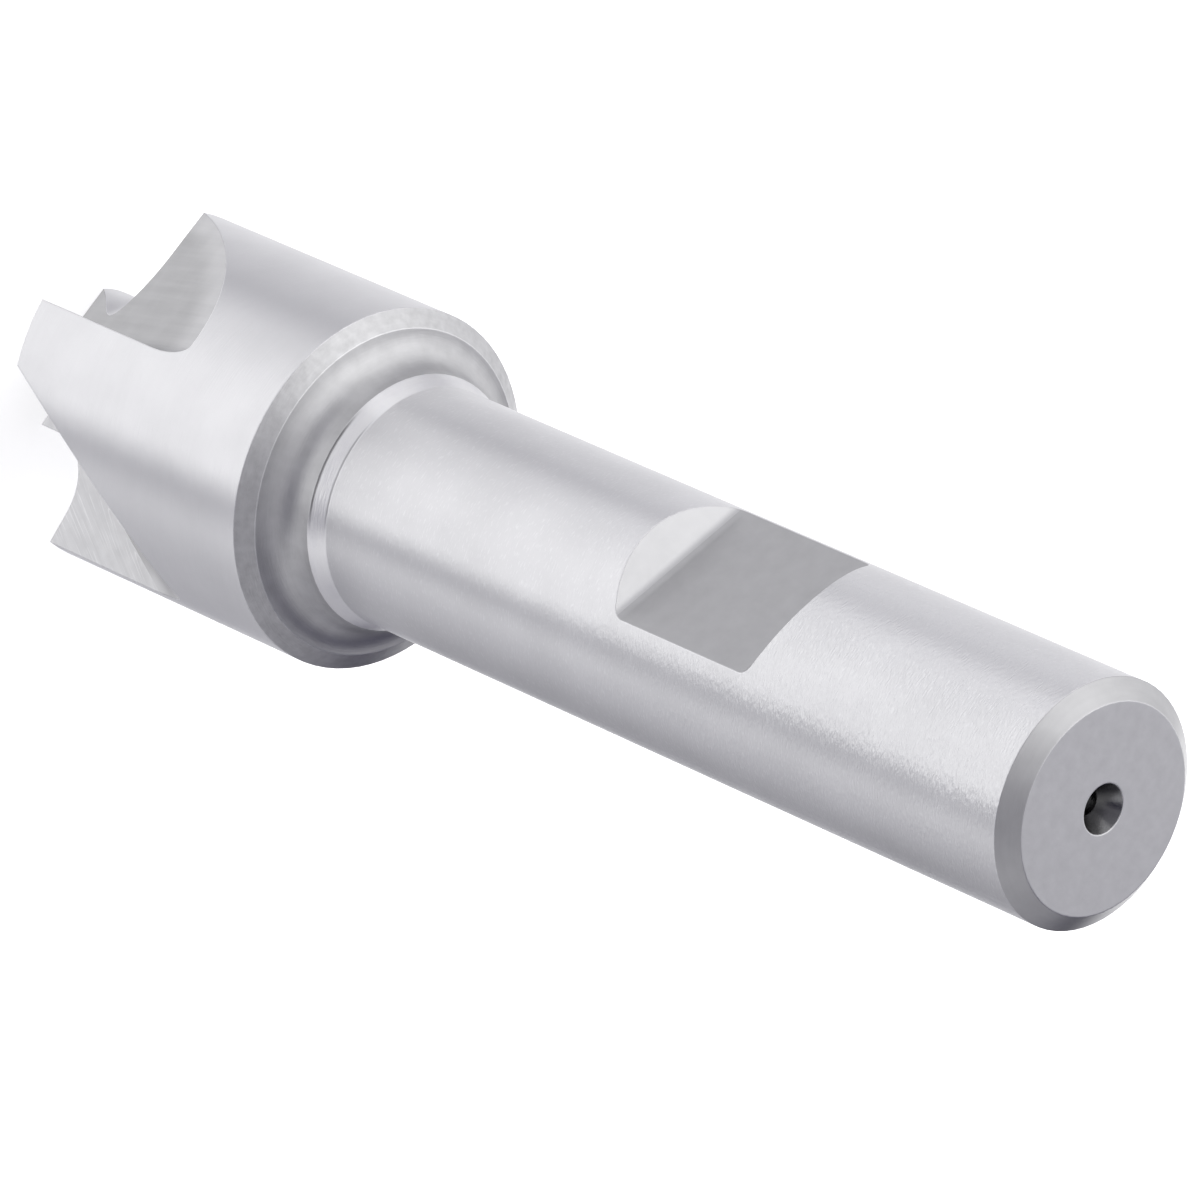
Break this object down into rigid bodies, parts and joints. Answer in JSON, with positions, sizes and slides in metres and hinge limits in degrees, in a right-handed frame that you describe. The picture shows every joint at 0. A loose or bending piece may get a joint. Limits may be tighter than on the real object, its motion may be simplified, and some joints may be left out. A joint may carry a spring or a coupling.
{
  "type": "corner rounding end mill",
  "caption": "Solid corner rounding end mill: plain shank with a clamping flat, coved neck and a fluted head whose teeth have concave cutting edges.",
  "frame": {"origin": "On the tool's axis at the cutting tip, where the ends of the teeth touch the surface that the tool stands on.", "axes": "+Z runs along the tool's axis from the cutting tip to the end of the shank. The first tooth's rake face lies in the plane y = 0 on the +X side and looks towards -Y. The clamping flat faces 23.44 degrees from +X towards -Y."},
  "size_m": [0.019, 0.019, 0.0762],
  "materials": {
    "ground_steel": "fine ground bright high speed steel, satin"
  },
  "bodies": {
    "root": {"end_mill": "ground_steel"}
  },
  "joints": []
}
